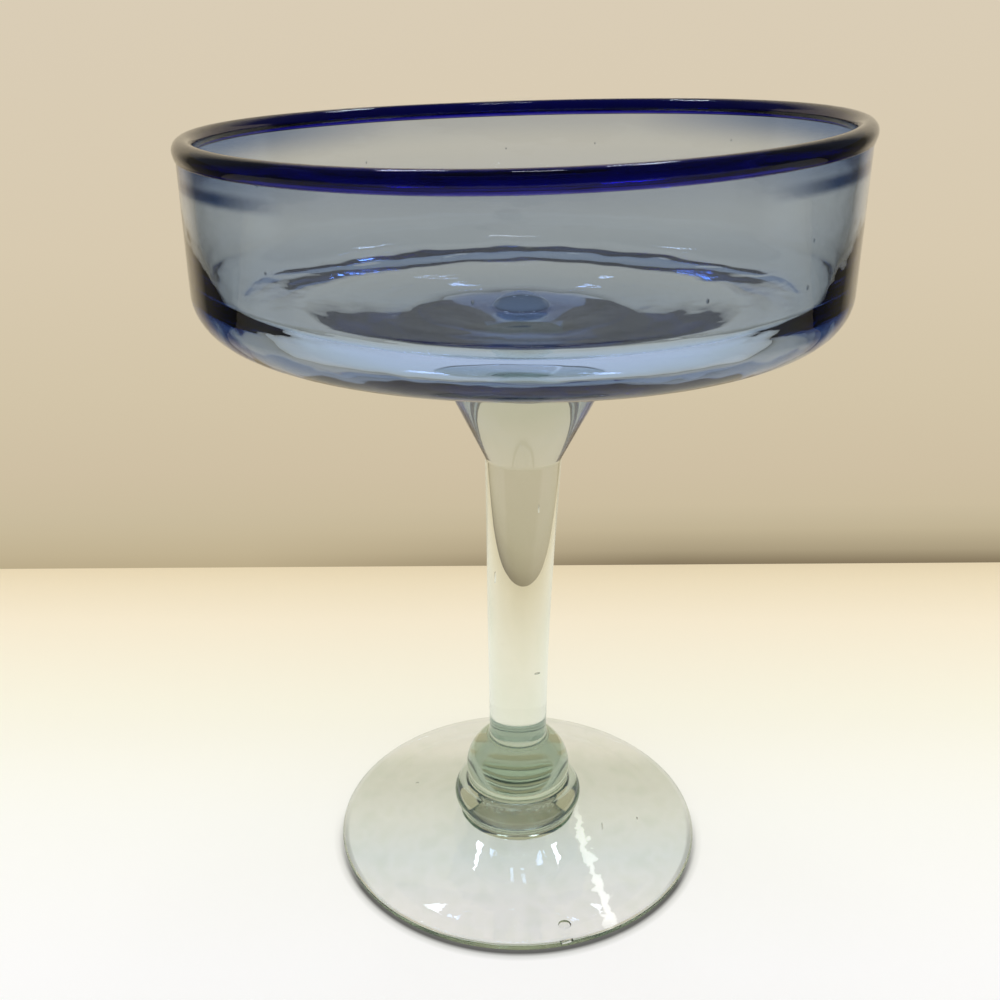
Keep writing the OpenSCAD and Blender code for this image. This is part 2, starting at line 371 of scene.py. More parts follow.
def inner_run(glass, side, edge, top_z):
    """The bowl's inside from the axis out and up: button, hollow, floor, turn, thickening and wall.

    The floor bends at edge, from its inner fall to its outer rise. The turn's circle touches the
    rise and the shallow arc by which the wall thickens.
    """
    rise, fall = math.degrees(glass.inner_rise), math.degrees(glass.inner_fall)
    fall_z = edge[1] - edge[0] * math.tan(glass.inner_fall)
    rise_z = edge[1] - edge[0] * math.tan(glass.inner_rise)
    ball = ((glass.button_width / 2) ** 2 + glass.button_height ** 2) / (2 * glass.button_height)
    ball_at = (0, fall_z + glass.button_height - ball)
    hollow = glass.button_hollow
    hollow_at = touching(ball_at, ball + hollow, fall_z, glass.inner_fall, hollow)
    swell = glass.thicken
    swell_at = (side - swell, glass.lip_height - glass.thicken_drop)
    turn_at = touching(swell_at, swell - glass.inner_turn, rise_z, glass.inner_rise, glass.inner_turn)
    phi, psi = heading(ball_at, hollow_at), heading(swell_at, turn_at)
    button = arc(ball_at, ball, 90, phi, 20)
    ditch = arc(hollow_at, hollow, 180 + phi, 270 + fall, 10)
    turn = arc(turn_at, glass.inner_turn, rise - 90, psi, 40)
    fold = bend(ditch[-1], edge, turn[0], glass.edge_round, 16)
    return joined(button, ditch, straight(ditch[-1], fold[0], 40), fold, straight(fold[-1], turn[0], 8),
        turn, arc(swell_at, swell, psi, 0, 20), straight((side, swell_at[1]), (side, top_z), 24))


def boss_run(seat_r, seat_z, flare, hollow, point_z, fall, steps):
    """The glass drawn down to the neck: a flared side, then a hollow of radius hollow.

    The hollow's circle touches the side's line and the floor's line z = point_z + r tan(fall).
    """
    lean = np.array([math.sin(flare), math.cos(flare)])
    off = np.array([lean[1], -lean[0]])
    base = np.array([seat_r, seat_z]) + hollow * off
    reach = (point_z + base[0] * math.tan(fall) - hollow / math.cos(fall) - base[1]) / (
        lean[1] - lean[0] * math.tan(fall))
    centre = base + reach * lean
    start, end = 180 - math.degrees(flare), 90 + math.degrees(fall)
    return joined(straight((seat_r, seat_z), centre - hollow * off, steps),
        arc(centre, hollow, start, end, steps))


# Materials


def node_tree(name):
    """A new material with an empty node tree."""
    material = bpy.data.materials.new(name)
    material.use_nodes = True
    material.node_tree.nodes.clear()
    return material, material.node_tree


def add(tree, kind, inputs=None, stops=(), **settings):
    """Adds one node with its settings and links, and returns it.

    A setting is a property of the node or, with _ for a space, the plain value of a socket. inputs
    says what goes into sockets, by name or number: another node stands for its first output in
    use, and what is neither node nor output is set as a value. stops are a colour ramp's
    (position, hex colour) pairs.
    """
    node = tree.nodes.new(kind)
    for key, value in settings.items():
        if hasattr(node, key):
            setattr(node, key, value)
        else:
            node.inputs[key.replace("_", " ")].default_value = value
    for key, source in (inputs or {}).items():
        socket = node.inputs[key] if isinstance(key, int) else next(
            each for each in node.inputs if each.enabled and each.name == key)
        if isinstance(source, bpy.types.Node):
            source = next(each for each in source.outputs if each.enabled)
        if isinstance(source, bpy.types.NodeSocket):
            tree.links.new(source, socket)
        else:
            socket.default_value = source
    if stops:
        band = node.color_ramp.elements
        while len(band) < len(stops):
            band.new(0.5)
        for element, (position, colour) in zip(band, stops):
            element.position, element.color = position, linear(colour)
    return node


# Settings of a Mix node that lays its second colour over the first as a tint
TINTED = {"data_type": "RGBA", "blend_type": "MULTIPLY"}


def whereabouts(tree):
    """A point of the object as one vector, and its x, y and z."""
    where = add(tree, "ShaderNodeTexCoord").outputs["Object"]
    x, y, z = add(tree, "ShaderNodeSeparateXYZ", {0: where}).outputs
    return where, x, y, z


def off_axis(tree, x, y):
    """A point's distance from the upright axis, sqrt(x^2 + y^2)."""
    level = add(tree, "ShaderNodeCombineXYZ", {"X": x, "Y": y})
    return add(tree, "ShaderNodeVectorMath", {0: level}, operation="LENGTH")


def along(tree, value, low, high, stops):
    """The colour that stops give where value stands on its way from low (0) to high (1)."""
    share = add(tree, "ShaderNodeMapRange", {"Value": value}, From_Min=low, From_Max=high)
    return add(tree, "ShaderNodeValToRGB", {0: share}, stops=stops)


def waves(tree, lengths, depth, detail=2):
    """The waver of a fire-polished skin: noise of those wave lengths along x, y and z, depth deep."""
    where = add(tree, "ShaderNodeTexCoord").outputs["Object"]
    counted = add(tree, "ShaderNodeVectorMath", {0: where, 1: [1 / each for each in lengths]},
        operation="MULTIPLY")
    noise = add(tree, "ShaderNodeTexNoise", {"Vector": counted}, Scale=1.0, Detail=detail)
    return add(tree, "ShaderNodeBump", {"Height": noise}, Distance=depth, Strength=1.0), noise


def fill_with_glass(tree, tint, skin, colour, density, rough=0.0):
    """The material's output: a tinted, refracting skin round a body that absorbs light.

    The index is GLASS_INDEX at the skin, and 1 on a fused seat, where light goes on unbent.
    density is the absorption per metre of all light but colour's.
    """
    seat = add(tree, "ShaderNodeAttribute", attribute_name="weld").outputs["Fac"]
    index = add(tree, "ShaderNodeMapRange", {"Value": seat}, To_Min=GLASS_INDEX, To_Max=1.0)
    surface = add(tree, "ShaderNodeBsdfPrincipled", {"Base Color": tint, "IOR": index, "Normal": skin},
        Roughness=rough, IOR=GLASS_INDEX, Transmission_Weight=1.0)
    body = add(tree, "ShaderNodeVolumeAbsorption", Color=list(colour) + [1.0], Density=density)
    add(tree, "ShaderNodeOutputMaterial", {"Surface": surface, "Volume": body})


def pale_blue_glass(look):
    """Blown soda-lime glass coloured by a trace of cobalt and iron, fire-polished.

    The eye sees a cool grey-blue that deepens where the wall is seen edge on, and a blue haze
    under the lip, where the wound cobalt has let colour down into the wall. On either side of its
    front a dark stroke is painted: a painted image of the far cobalt band as the front wall
    refracts it. The floor has a bluer ring round its button, and fine ripples from the spinning.
    """
    glass = bpy.context.scene.blown_glass
    top = glass.lip_height - glass.wrap_seat
    ripple_length, ripple_depth, ripple_sway = 9 * MM, 0.04 * MM, 8.0
    material, tree = node_tree("pale_blue_blown_glass")
    x, y, z = whereabouts(tree)[1:]
    level = add(tree, "ShaderNodeMath", {0: x, 1: -math.tan(glass.lip_slant), 2: z},
        operation="MULTIPLY_ADD")
    uneven = along(tree, level, top - 40 * MM, top, (
        (0.0, "#F6FCFF"), (0.1, "#F2F9FF"), (0.3, "#E8F1FC"), (0.7, "#EAF2FC"), (0.95, "#F2F9FF"),
        (1.0, "#F4FBFF")))
    haze = add(tree, "ShaderNodeMapRange", {"Value": level}, interpolation_type="SMOOTHSTEP",
        From_Min=top - look.haze_depth, From_Max=top)
    side = add(tree, "ShaderNodeMath", {0: x}, operation="ABSOLUTE")
    thick = add(tree, "ShaderNodeMapRange", {"Value": side}, From_Min=30 * MM, From_Max=66 * MM,
        To_Min=0.3)
    part = add(tree, "ShaderNodeMath", {0: haze, 1: thick}, operation="MULTIPLY")
    hazy = add(tree, "ShaderNodeMix",
        {"Factor": part, "A": uneven, "B": list(look.haze_colour) + [1.0]}, data_type="RGBA")
    # Painted refraction: a dark stroke on either side of the front stands in for the far cobalt band
    # seen through the front wall
    painted_band_image = along(tree, level, top - 8 * MM, top, (
        (0.0, "#FFFFFF"), (0.25, "#FFFFFF"), (0.38, "#5A6F96"), (0.52, "#5A6F96"), (0.66, "#EEF2F8")))
    painted_band_side = add(tree, "ShaderNodeMapRange", {"Value": side}, From_Min=38 * MM, From_Max=52 * MM)
    before = add(tree, "ShaderNodeMapRange", {"Value": y}, From_Min=5 * MM, From_Max=-20 * MM)
    painted_band_mask = add(tree, "ShaderNodeMath", {0: painted_band_side, 1: before}, operation="MULTIPLY")
    wall = add(tree, "ShaderNodeMix", {"Factor": painted_band_mask, "A": hazy, "B": painted_band_image}, **TINTED)
    radius = off_axis(tree, x, y)
    in_floor = add(tree, "ShaderNodeMapRange", {"Value": z}, From_Min=144 * MM, From_Max=140 * MM)
    button = along(tree, radius, 0, 24 * MM, (
        (0.0, "#FFFFFF"), (0.24, "#FFFFFF"), (0.31, "#7A84AA"), (0.6, "#7A84AA"), (0.9, "#FFFFFF")))
    tint = add(tree, "ShaderNodeMix", {"Factor": in_floor, "A": wall, "B": button}, **TINTED)
    skin, waver = waves(tree, (16.67 * MM, 16.67 * MM, 9.091 * MM), 0.1 * MM)
    swung = add(tree, "ShaderNodeMath", {0: waver, 1: ripple_sway}, operation="MULTIPLY")
    phase = add(tree, "ShaderNodeMath", {0: radius, 1: 2 * math.pi / ripple_length, 2: swung},
        operation="MULTIPLY_ADD")
    ripple = add(tree, "ShaderNodeMath", {0: phase}, operation="SINE")
    spun = add(tree, "ShaderNodeMath", {0: ripple, 1: in_floor}, operation="MULTIPLY")
    rippled = add(tree, "ShaderNodeBump", {"Height": spun, "Normal": skin}, Distance=ripple_depth,
        Strength=1.0)
    fill_with_glass(tree, tint, rippled, look.bowl_colour, look.bowl_density)
    return material


def cobalt_glass(look):
    """Cobalt glass wound hot on the lip: nearly black in its thick middle, pure navy at its edges."""
    material, tree = node_tree("cobalt_lip_glass")
    skin, streak = waves(tree, (11.11 * MM, 11.11 * MM, 2 * MM), 0.06 * MM)
    tint = add(tree, "ShaderNodeValToRGB", {0: streak}, stops=(
        (0.3, "#C9C9DA"), (0.5, "#FFFFFF"), (0.7, "#E2E2EE")))
    fill_with_glass(tree, tint, skin, look.cobalt_colour, look.cobalt_density)
    return material


def clear_glass(look, name="clear_recycled_glass", shade_density_scale=1.0, rough=0.0,
        lengths=(7.143 * MM, 7.143 * MM, 22.22 * MM), depth=0.05 * MM):
    """Clear recycled soda-lime glass, fire-polished: a faint grey-green that shows in thick pieces."""
    material, tree = node_tree(name)
    skin, cord = waves(tree, lengths, depth)
    tint = add(tree, "ShaderNodeValToRGB", {0: cord}, stops=(
        (0.3, "#F7F9F6"), (0.5, "#FEFEFE"), (0.7, "#FAFBF8")))
    # A scale above 1 makes a copy of the glass absorb more, as painted shade
    fill_with_glass(tree, tint, skin, look.clear_colour, look.clear_density * shade_density_scale, rough)
    return material


def knop_glass_with_painted_shade(look):
    """The same clear glass in the knop and the merese, greener and darker as painted shade, and calmer.

    It absorbs 1.7 times as much as the clear glass, which stands in for the shade that dark surroundings
    give these thick pieces, and its skin is not quite fire-bright.
    """
    return clear_glass(look, "clear_glass_with_painted_shade", 1.7, 0.06,
        (11.11 * MM, 11.11 * MM, 22.22 * MM), 0.02 * MM)


def torn_glass(look):
    """Clear glass broken from the pontil rod: a shell-like, rough face that scatters like frost."""
    material, tree = node_tree("torn_pontil_glass")
    skin, grain = waves(tree, (1.111 * MM, 1.111 * MM, 1.111 * MM), 0.25 * MM, 5)
    tint = add(tree, "ShaderNodeValToRGB", {0: grain}, stops=((0.3, "#E6EAE6"), (0.6, "#FFFFFF")))
    fill_with_glass(tree, tint, skin, look.clear_colour, look.clear_density, 0.25)
    return material


def shared(name, make, look):
    """The material of that name, made on its first use."""
    return bpy.data.materials.get(name) or make(look)


# Sizes and colours that a user can change


def length(name, description, millimetres):
    """A property that holds a length, with its default in millimetres."""
    return FloatProperty(name=name, description=description, default=millimetres * MM, unit="LENGTH")


def angle(name, description, degrees):
    """A property that holds an angle, with its default in degrees."""
    return FloatProperty(name=name, description=description, default=math.radians(degrees),
        subtype="ANGLE")


def colour_through(name, description, default):
    """A property that holds the linear colour that a glass lets through."""
    return FloatVectorProperty(name=name, description=description, subtype="COLOR", size=3,
        default=default)


class BlownGlassSizes(bpy.types.PropertyGroup):
    """Sizes of the glass that its frame's boxes don't show."""

    wall: length("Wall", "Thickness of the wall under the lip", 2.6)
    bowl_height: length("Bowl height", "From the turn's lowest line to the lip", 39.7)
    turn: length("Turn", "Outer radius of the turn from wall to floor", 8.9)
    inner_turn: length("Inner turn", "Inner radius of that turn", 9)
    thicken_drop: length("Thickening", "Depth at which the wall starts to thicken", 16)
    thicken: length("Thickening curve", "Radius of the curve by which it thickens", 100)
    floor_fall: angle("Fall", "Angle at which the outside falls from the turn", 5)
    drawn_width: length("Drawn width", "Width within which the floor is drawn down", 94)
    drawn_fall: angle("Drawn fall", "Angle at which the drawn part falls", 12.5)
    drawn_round: length("Drawn edge", "Radius of the drawn part's edge", 12)
    inner_fall: angle("Inner fall", "Angle at which the drawn part falls inside", 3.3)
    inner_rise: angle("Inner rise", "Angle at which the inside rises to the turn", 11.6)
    edge_round: length("Inner edge", "Radius of the bend between these two", 30)
    floor: length("Floor", "Thickness of the floor at the drawn part's edge", 3.2)
    button_width: length("Button width", "Width of the button in the floor", 13)
    button_height: length("Button height", "Height of the button in the floor", 4.6)
    button_hollow: length("Button hollow", "Radius of the hollow round the button", 2)
    lip_height: length("Lip height", "Height of the middle of the lip", 175)
    lip_slant: angle("Slant", "Slant of the mouth, the left side low", 1.5)
    mouth_dip: length("Mouth dip", "How far the mouth hangs at front and back", 1.02)
    mouth_tip: length("Mouth tip", "How far its back stands above its middle", 0.48)
    wrap: length("Wrap", "Thickness of the cobalt bead", 4.2)
    wrap_proud: length("Proud", "How far the bead stands proud outside", 0.6)
    wrap_seat: length("Wrap depth", "Depth of the wall's end below the lip", 3.7)
    wrap_slope: FloatProperty(name="Wrap slope",
        description="Rise of the wall's end from outside to inside", default=0.68)
    wrap_step: length("Wrap step", "Roundness of the wrap's lower edge", 0.35)
    neck_flare: angle("Flare", "Angle of the neck's side from upright", 27.5)
    neck_hollow: length("Neck hollow", "Radius between neck and stem", 2)
    floor_hollow: length("Floor hollow", "Radius between neck and floor", 6)
    stem_waist: length("Waist", "Narrowing of the stem below a straight taper", 0.25)
    stem_foot: length("Stem foot", "Radius of the stem at the knop", 7.1)
    knop_top: length("Knop curve", "Radius of the knop's upper curve", 11)
    knop_under: length("Knop undercut", "Radius of the knop's undercut", 4.5)
    stem_hollow: length("Stem hollow", "Radius of the hollow between stem and knop", 2)
    knop_hollow: length("Knop hollow", "Radius of the hollow between knop and merese", 1.8)
    foot_fillet: length("Foot hollow edge", "Radius between merese and foot", 1)
    merese_round: length("Merese side", "Radius of the merese's side", 4.15)
    edge: length("Foot edge", "Thickness of the foot's rounded edge", 2.2)
    ring: length("Foot ring", "Width of the ring that the foot rests on", 4)
    foot_hollow: length("Foot hollow", "Height of the hollow under the foot", 3)
    foot_sag: length("Foot sag", "Sag of the foot's top below a cone", 0.9)
    roof_rise: length("Roof rise", "Rise of the hollow's roof above a cone", 0.35)
    scar_round: length("Scar edge", "Radius of the pontil mark's lower edge", 0.5)
    weld: length("Weld", "Depth to which fused pieces run into each other", 0.01)
    drift: length("Drift", "How far the neck stands to the right of the foot", 1.1)
    drift_start: length("Drift start", "Height on the stem where it starts", 20)
    drift_back: length("Drift back", "Height over which the bowl comes back", 12)
    drift_left: FloatProperty(name="Drift left", description="Share of the drift that the bowl keeps",
        default=0.25, min=0, max=1)
    waver: length("Waver", "Unevenness of the blown wall", 0.06)
    around: IntProperty(name="Steps", description="Steps round each turned piece", default=256, min=48)


class BlownGlassLook(bpy.types.PropertyGroup):
    """Colours and densities of the three glasses."""

    bowl_colour: colour_through("Bowl colour", "Colour that the bowl lets through", (0.48, 0.61, 0.81))
    bowl_density: FloatProperty(name="Bowl density", description="Absorption of the bowl, per metre",
        default=115.0)
    haze_colour: colour_through("Haze", "Tint of the cobalt haze under the lip", (0.2, 0.3, 0.55))
    haze_depth: length("Haze depth", "How far the haze reaches below the lip", 8)
    cobalt_colour: colour_through("Cobalt colour", "Colour that the lip lets through",
        (0.12, 0.03, 0.82))
    cobalt_density: FloatProperty(name="Cobalt density", description="Absorption of the lip, per metre",
        default=3300.0)
    clear_colour: colour_through("Clear colour", "Colour of thick clear glass", (0.20, 0.44, 0.24))
    clear_density: FloatProperty(name="Clear density",
        description="Absorption of the clear glass, per metre", default=12.5)


class BLOWN_OT_bowl(bpy.types.Operator):
    """Build the blown bowl with its turned-in floor"""

    bl_idname = "blown.bowl"
    bl_label = "Bowl"

    def execute(self, context):
        glass, look = context.scene.blown_glass, context.scene.blown_look
        seat_z, side = fused_heights("bowl", glass)[0], widest("bowl")
        top_z = glass.lip_height - glass.wrap_seat + glass.weld / 2
        edge, outer = outer_run(glass, side, top_z)
        inner_z = top_z + glass.wrap_slope * glass.wall
        inner = inner_run(glass, side - glass.wall, (edge[0], edge[1] + glass.floor), inner_z)
        foot = straight((0, seat_z), (widest("neck"), seat_z), 8)
        rim = straight((side, top_z), (side - glass.wall, inner_z), 5)
        profile = joined(foot, outer, rim, inner[::-1])
        profile[0, 0] = profile[-1, 0] = 0
        piece = glass_object("blown_bowl", turned(profile, glass.around), WALL_SEEDS,
            [(0, seat_z, 0), (side, top_z, glass.wrap_slope)], glass)
        finish_piece(piece, "bowl",
            shared("pale_blue_blown_glass", pale_blue_glass, look))
        return {"FINISHED"}


class BLOWN_OT_lip(bpy.types.Operator):
    """Build the cobalt bead wound on the mouth"""

    bl_idname = "blown.lip"
    bl_label = "Lip wrap"

    def execute(self, context):
        glass, look = context.scene.blown_glass, context.scene.blown_look
        side, radius = widest("bowl"), glass.wrap / 2
        tuck, out_sag, in_sag = 0.02 * MM, -0.04 * MM, -0.12 * MM
        middle = (side + glass.wrap_proud - radius, glass.lip_height - radius)
        seat_z = glass.lip_height - glass.wrap_seat - glass.weld / 2
        step_z = seat_z + glass.wrap_step
        bead = arc(middle, radius, -4, 200, 44)
        foot = arc((side, step_z), glass.wrap_step, -90, -20, 8)
        outside = joined(foot, sagging((side + glass.wrap_step - tuck, step_z), bead[0], out_sag, 8))
        inner_z = seat_z + glass.wrap_slope * glass.wall
        inside = sagging(bead[-1], (side - glass.wall, inner_z), in_sag, 8)
        base = straight((side - glass.wall, inner_z), (side, seat_z), 6)
        profile = joined(outside, bead, inside, base)[:-1]
        piece = glass_object("cobalt_lip", ringed(profile, glass.around), [],
            [(side, seat_z, glass.wrap_slope)], glass)
        finish_piece(piece, "lip_wrap", shared("cobalt_lip_glass", cobalt_glass, look))
        return {"FINISHED"}


class BLOWN_OT_stem(bpy.types.Operator):
    """Build the clear pieces from the neck down to the pontil mark"""

    bl_idname = "blown.stem"
    bl_label = "Neck, stem and foot"

    def neck(self, glass):
        low, high = fused_heights("neck", glass)
        stem_r, neck_r, radius = widest("stem"), widest("neck"), glass.neck_hollow
        hollow = arc((stem_r + radius, low), radius, 180, 180 - math.degrees(glass.neck_flare), 24)
        return joined(straight((0, low), (stem_r, low), 6), hollow,
            straight(hollow[-1], (neck_r, high), 24), straight((neck_r, high), (0, high), 8))

    def knop_middles(self, glass):
        """Middles of the knop's upper and lower curves."""
        side, top = widest("knop"), glass.knop_top
        wide_z = seat_height("knop", 1) - math.sqrt(top ** 2 - (glass.stem_foot - side + top) ** 2)
        return (side - top, wide_z), (side - glass.knop_under, wide_z)

    def merese_middle(self, glass):
        """Middle of the curve of the merese's side."""
        return np.array([widest("merese"), seat_height("merese", 1)]) - glass.merese_round

    def collar(self, glass):
        """Middle of the hollow between stem and knop, which touches the stem's side and the knop."""
        middle = self.knop_middles(glass)[0]
        reach = glass.knop_top + glass.stem_hollow
        r = glass.stem_foot + glass.stem_hollow
        return r, middle[1] + math.sqrt(reach ** 2 - (r - middle[0]) ** 2)

    def groove(self, glass):
        """Middle of the hollow between knop and merese, which touches both."""
        return nestled(self.knop_middles(glass)[1], glass.knop_under + glass.knop_hollow,
            self.merese_middle(glass), glass.merese_round + glass.knop_hollow)

    def instep(self, glass):
        """Middle of the hollow between merese and foot, and where it touches the foot's top."""
        middle, low = self.merese_middle(glass), seat_height("merese", 0)
        seat_r = middle[0] + math.sqrt(glass.merese_round ** 2 - (middle[1] - low) ** 2)
        seat = np.array([seat_r, low])
        edge = np.array([widest("foot") - glass.edge / 2, glass.edge])
        way = edge - seat
        fall = math.atan2(-way[1], way[0]) + 4 * glass.foot_sag / np.hypot(*way)
        on, up = np.array([math.cos(fall), -math.sin(fall)]), np.array([math.sin(fall), math.cos(fall)])
        base = seat + up * glass.foot_fillet - middle
        reach = glass.merese_round + glass.foot_fillet
        t = -base @ on + math.sqrt((base @ on) ** 2 - base @ base + reach ** 2)
        centre = middle + base + t * on
        return centre, centre - up * glass.foot_fillet

    def stem(self, glass):
        low, high = fused_heights("stem", glass)
        hollow, middle = glass.stem_hollow, self.collar(glass)
        curve = arc(middle, hollow, meeting(middle, hollow, low), 180, 24)
        side = sagging(curve[-1], (widest("stem"), high), glass.stem_waist, 60)
        return joined(straight((0, low), curve[0], 6), curve, side, straight(side[-1], (0, high), 6))

    def knop(self, glass):
        low, high = fused_heights("knop", glass)
        above, below = self.knop_middles(glass)
        collar, groove = self.collar(glass), self.groove(glass)
        enter, leave = heading(groove, below) % 360, heading(collar, above) % 360
        lower = arc(groove, glass.knop_hollow, meeting(groove, glass.knop_hollow, low), enter, 24)
        under = arc(below, glass.knop_under, enter - 180, 0, 56)
        upper = arc(above, glass.knop_top, 0, leave - 180, 90)
        neck = arc(collar, glass.stem_hollow, leave, meeting(collar, glass.stem_hollow, high), 20)
        return joined(straight((0, low), lower[0], 8), lower, under, upper, neck,
            straight(neck[-1], (0, high), 6))

    def merese(self, glass):
        low, high = fused_heights("merese", glass)
        instep, groove, middle = self.instep(glass)[0], self.groove(glass), self.merese_middle(glass)
        enter, leave = heading(instep, middle) % 360, heading(middle, groove)
        lower = arc(instep, glass.foot_fillet, meeting(instep, glass.foot_fillet, low), enter, 20)
        side = arc(middle, glass.merese_round, enter - 180, leave, 100)
        top = meeting(groove, glass.knop_hollow, high)
        upper = arc(groove, glass.knop_hollow, leave + 180, top, 20)
        return joined(straight((0, low), lower[0], 10), lower, side, upper,
            straight(upper[-1], (0, high), 8))

    def foot(self, glass):
        high = fused_heights("foot", glass)[1]
        edge_r = glass.edge / 2
        edge_x, scar_r = widest("foot") - edge_r, widest("pontil_mark")
        ring_x = edge_x - glass.ring
        instep, touch = self.instep(glass)
        roof = sagging((scar_r, glass.foot_hollow), (ring_x, 0), glass.roof_rise, 30)
        edge = arc((edge_x, edge_r), edge_r, -90, 90, 16)
        sag = glass.foot_sag * (1 - (touch[0] - glass.stem_foot) / (edge_x * 4))
        top = sagging((edge_x, glass.edge), touch, sag, 40)
        curve = arc(instep, glass.foot_fillet, heading(instep, touch) % 360,
            meeting(instep, glass.foot_fillet, high), 8)
        return joined(straight((0, glass.foot_hollow), (scar_r, glass.foot_hollow), 8), roof,
            straight((ring_x, 0), (edge_x, 0), 6), edge, top, curve,
            straight((curve[-1][0], high), (0, high), 10))

    def pontil_mark(self, glass):
        low, high = seat_height("pontil_mark", 0), fused_heights("pontil_mark", glass)[1]
        side, radius = widest("pontil_mark"), glass.scar_round
        edge = arc((side - radius, low + radius), radius, -90, 0, 8)
        return joined(straight((0, low), edge[0], 8), edge, straight((side, high), (0, high), 8))

    def execute(self, context):
        glass, look = context.scene.blown_glass, context.scene.blown_look
        clear = shared("clear_recycled_glass", clear_glass, look)
        # The knop and the merese take a darker copy of the clear glass, as painted shade
        painted_shade_copy = shared("clear_glass_with_painted_shade", knop_glass_with_painted_shade, look)
        torn = shared("torn_pontil_glass", torn_glass, look)
        for node, name, material, seeds in (
                ("neck", "flared_neck", clear, ()), ("stem", "drawn_stem", clear, STEM_SEEDS),
                ("knop", "knop_bead", painted_shade_copy, ()), ("merese", "merese_collar", painted_shade_copy, ()),
                ("foot", "spun_foot", clear, FOOT_SEEDS), ("pontil_mark", "pontil_scar", torn, ())):
            profile = getattr(self, node)(glass)
            profile[0, 0] = profile[-1, 0] = 0
            seats = [(0, z, 0) for z in profile[[0, -1], 1]]
            if node == "pontil_mark":
                seats = seats[1:]
            piece = glass_object(name, turned(profile, glass.around), seeds, seats, glass)
            finish_piece(piece, node, material)
        return {"FINISHED"}


# The stage: table, wall, room, lamps and camera


def seen_directly(tree):
    """1 for rays from the camera, off gloss or through glass, and 0 for soft light."""
    path = add(tree, "ShaderNodeLightPath").outputs
    first = add(tree, "ShaderNodeMath", {0: path["Is Camera Ray"], 1: path["Is Glossy Ray"]},
        operation="MAXIMUM")
    return add(tree, "ShaderNodeMath", {0: first, 1: path["Is Transmission Ray"]}, operation="MAXIMUM")


def seen_mirrored(tree):
    """1 for what the glass mirrors, and 0 for what is seen directly or straight through it."""
    turned_back = add(tree, "ShaderNodeLightPath").outputs["Glossy Depth"]
    return add(tree, "ShaderNodeMath", {0: turned_back, 1: 1.0}, operation="MINIMUM")


def show_one_sided(tree, matt, shown, power, share):
    """The output of a stage sheet, which is seen from its front only.

    It glows with the colour shown, at power, for that share of what is seen, and else is matt.
    """
    glow = add(tree, "ShaderNodeEmission", {"Color": shown, "Strength": power})
    dull = add(tree, "ShaderNodeBsdfDiffuse", {"Color": matt})
    front = add(tree, "ShaderNodeMixShader", {0: share, 1: dull, 2: glow})
    clear = add(tree, "ShaderNodeBsdfTransparent")
    behind = add(tree, "ShaderNodeNewGeometry").outputs["Backfacing"]
    sheet_seen = add(tree, "ShaderNodeMixShader", {0: behind, 1: front, 2: clear})
    add(tree, "ShaderNodeOutputMaterial", {"Surface": sheet_seen})


def painted_light_streak(tree, where, x, y):
    """1 on a painted streak of light, standing in for the light that the glass throws on the table, and
    0 beside it.

    Its middle is the line x + lean * y = middle, swung to both sides by noise. It starts and ends
    softly along y.
    """
    lean, middle, swing, jag_length = 0.168, 14.9 * MM, 7 * MM, 3.03 * MM
    jag = add(tree, "ShaderNodeTexNoise", {"Vector": where}, Scale=1 / jag_length, Detail=4.0)
    run = add(tree, "ShaderNodeMath", {0: y, 1: lean, 2: x}, operation="MULTIPLY_ADD")
    bent = add(tree, "ShaderNodeMath", {0: jag, 1: swing, 2: run}, operation="MULTIPLY_ADD")
    off = add(tree, "ShaderNodeMath", {0: bent, 1: middle + swing / 2}, operation="SUBTRACT")
    far = add(tree, "ShaderNodeMath", {0: off}, operation="ABSOLUTE")
    inside = add(tree, "ShaderNodeMapRange", {"Value": far}, From_Min=1.3 * MM, From_Max=0.9 * MM)
    near_end = add(tree, "ShaderNodeMapRange", {"Value": y}, From_Min=-41 * MM, From_Max=-36 * MM)
    far_end = add(tree, "ShaderNodeMapRange", {"Value": y}, From_Min=6 * MM, From_Max=-2 * MM)
    ends = add(tree, "ShaderNodeMath", {0: near_end, 1: far_end}, operation="MULTIPLY")
    return add(tree, "ShaderNodeMath", {0: inside, 1: ends}, operation="MULTIPLY")


